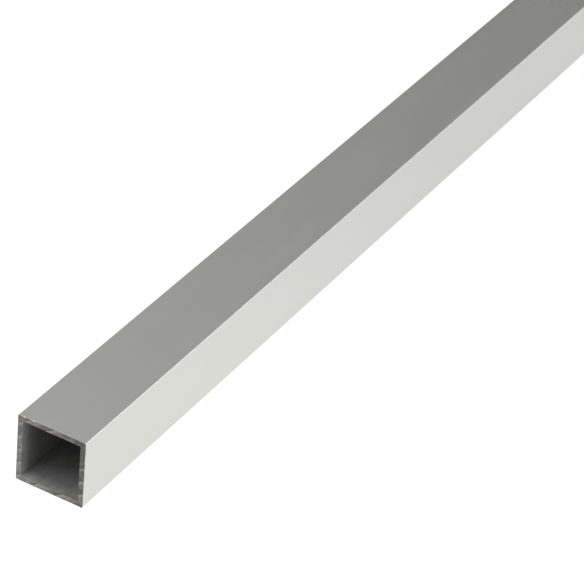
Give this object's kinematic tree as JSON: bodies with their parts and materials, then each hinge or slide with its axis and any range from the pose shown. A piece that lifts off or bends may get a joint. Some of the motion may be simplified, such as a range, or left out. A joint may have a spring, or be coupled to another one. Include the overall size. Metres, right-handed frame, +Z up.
{
  "type": "square metal tube",
  "caption": "Length of square aluminium tube with thin equal walls, open at both sawn ends, for light frames, rails and brackets.",
  "frame": {"origin": "middle of the tube's length, under its centreline, on the flat that it lies on", "axes": "+X along the tube, +Y across it, +Z up out of its top flat"},
  "size_m": [1, 0.02, 0.02],
  "materials": {
    "anodised_aluminium": "satin, clear anodised outside; the sawn ends are bare metal"
  },
  "bodies": {
    "root": {"square_tube": "anodised_aluminium"}
  },
  "joints": []
}
